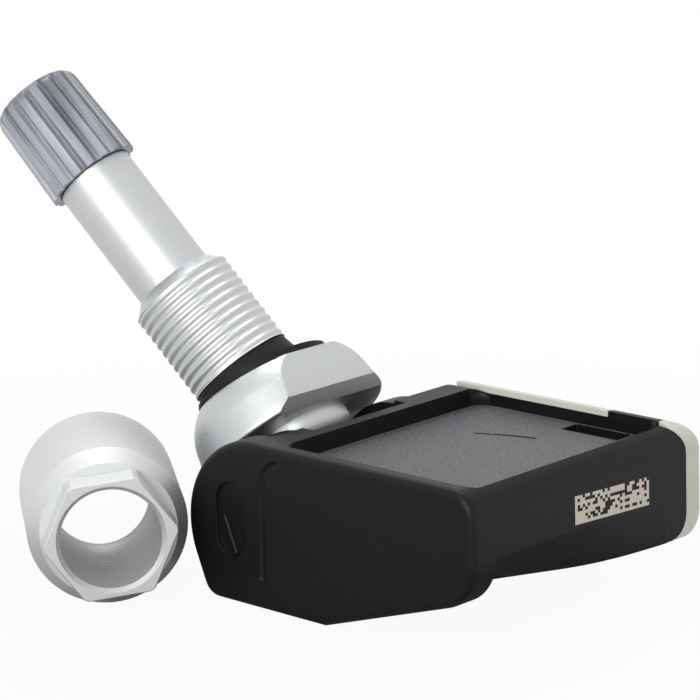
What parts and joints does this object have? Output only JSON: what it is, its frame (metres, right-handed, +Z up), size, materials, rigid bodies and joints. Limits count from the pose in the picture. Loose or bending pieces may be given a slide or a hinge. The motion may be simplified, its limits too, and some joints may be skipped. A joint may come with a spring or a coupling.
{
  "type": "tyre pressure sensor",
  "caption": "Tyre pressure sensor: black moulded box with a swivelling metal valve stem, ribbed cap and rubber seal, and its clamping nut lying beside it.",
  "frame": {"origin": "on the floor below the valve's swivel pin, in the middle of the front flange's thickness", "axes": "+X along the housing from its front flange to its end lid, +Y across it towards the valve stem, +Z up"},
  "size_m": [0.0491, 0.0677, 0.049],
  "materials": {
    "glass_filled_plastic": "fine spark texture, black",
    "natural_plastic": "plain moulded, cream",
    "plated_alloy": "turned and satin plated",
    "black_rubber": "moulded, matte",
    "smoked_plastic": "moulded, smoky and see-through",
    "pin_steel": "ground",
    "core_brass": "turned",
    "spring_steel": "drawn wire",
    "board_laminate": "solder resist, green",
    "chip_resin": "moulded resin",
    "tinned_metal": "tinned sheet",
    "battery_can": "nickel plated",
    "copper_wire": "enamelled copper",
    "ferrite": "sintered"
  },
  "bodies": {
    "sensor_body": {"housing": "glass_filled_plastic", "end_lid": "natural_plastic", "pivot_pin": "pin_steel", "nut": "plated_alloy", "circuit_board": "board_laminate", "pressure_sensor": "chip_resin", "port_gasket": "black_rubber", "radio_chip": "chip_resin", "crystal": "tinned_metal", "capacitors": "tinned_metal", "coil_core": "ferrite", "coil_winding": "copper_wire", "aerial": "tinned_metal", "battery": "battery_can", "battery_tab_positive": "tinned_metal", "battery_tab_negative": "tinned_metal"},
    "valve": {"valve_body": "plated_alloy", "grommet": "black_rubber", "core_body": "core_brass", "core_ring": "black_rubber", "core_spring": "spring_steel"},
    "plunger": {"core_plunger": "core_brass", "core_cup": "black_rubber"},
    "cap_carrier": {"cap_washer": "black_rubber"},
    "dust_cap": {"cap": "smoked_plastic"}
  },
  "joints": [
    {"name": "valve_swivel", "type": "hinge", "parent": "sensor_body", "child": "valve", "pos_m": [0.01225, 0, 0.0084], "axis": [1, 0, 0], "range_deg": [-12, 4]},
    {"name": "plunger_press", "type": "slide", "parent": "valve", "child": "plunger", "axis": [0.1617, -0.6472, -0.745], "range_m": [0, 0.001], "stiffness_N_per_m": 400, "springref_m": -0.002, "deforming": ["core_spring"]},
    {"name": "cap_lift", "type": "slide", "parent": "valve", "child": "cap_carrier", "axis": [-0.1617, 0.6472, 0.745], "range_m": [0, 0.00476]},
    {"name": "cap_turn", "type": "hinge", "parent": "cap_carrier", "child": "dust_cap", "pos_m": [0.00519, 0.02977, 0.04267], "axis": [-0.1617, 0.6472, 0.745], "range_deg": [0, 2160]}
  ],
  "couplings": [
    {"joint": "cap_turn", "follows": "cap_lift", "rad_per_m": 7913.3}
  ]
}
